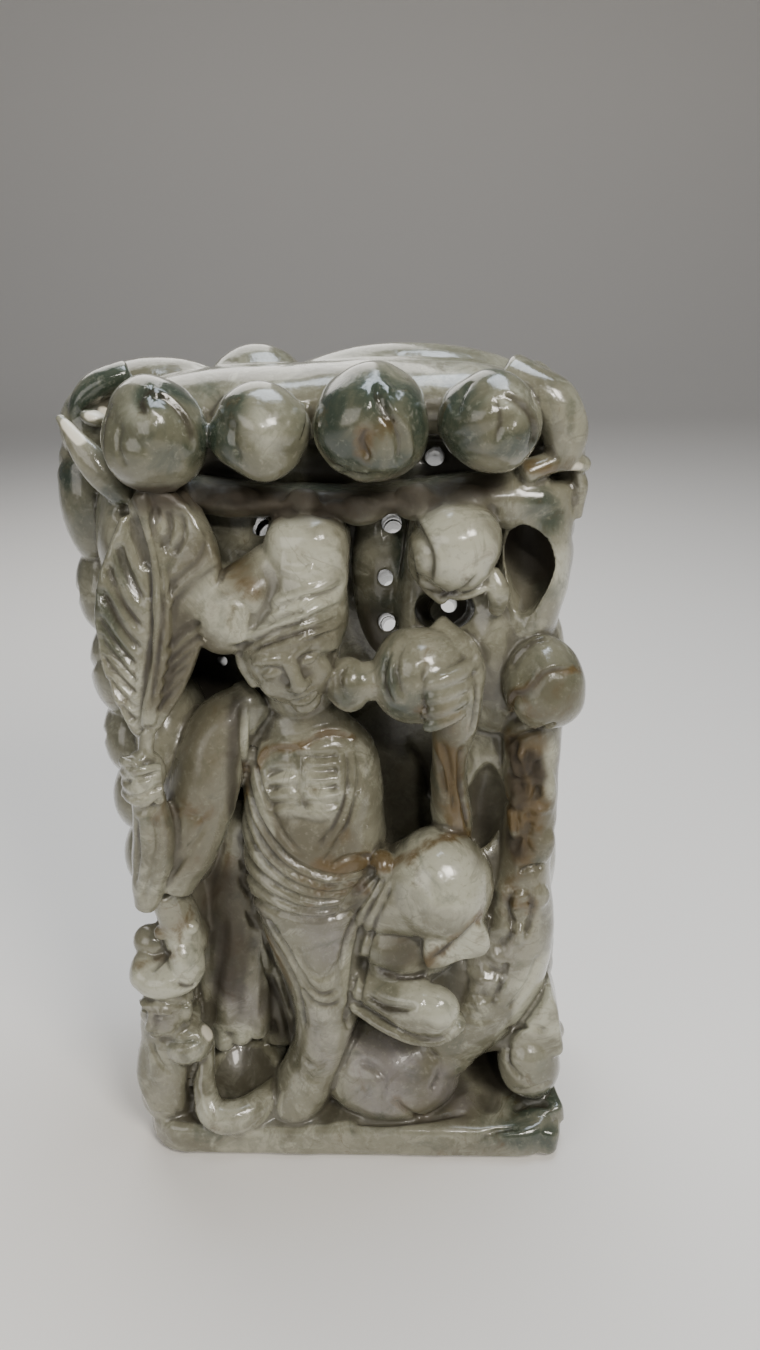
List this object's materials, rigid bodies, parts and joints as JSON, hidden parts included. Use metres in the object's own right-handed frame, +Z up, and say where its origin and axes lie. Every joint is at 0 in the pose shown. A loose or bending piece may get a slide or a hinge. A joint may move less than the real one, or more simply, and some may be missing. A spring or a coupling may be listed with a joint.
{
  "type": "jade sculpture",
  "caption": "Pierced jadeite carving of a smiling robed figure with fan and gourd under a row of peaches, tree behind, small attendant beside, one solid on a flat base.",
  "frame": {"origin": "centre of the bounding box on the underside, where the carving stands", "axes": "+Z up, the figure faces -Y, +X to the right as seen from the front"},
  "size_m": [0.1234, 0.0663, 0.2085],
  "materials": {
    "jade": "polished jadeite, grey to celadon with dark green patches and a few brown iron stains, a little translucent at thin edges"
  },
  "bodies": {
    "root": {"jade_carving": "jade"}
  },
  "joints": []
}
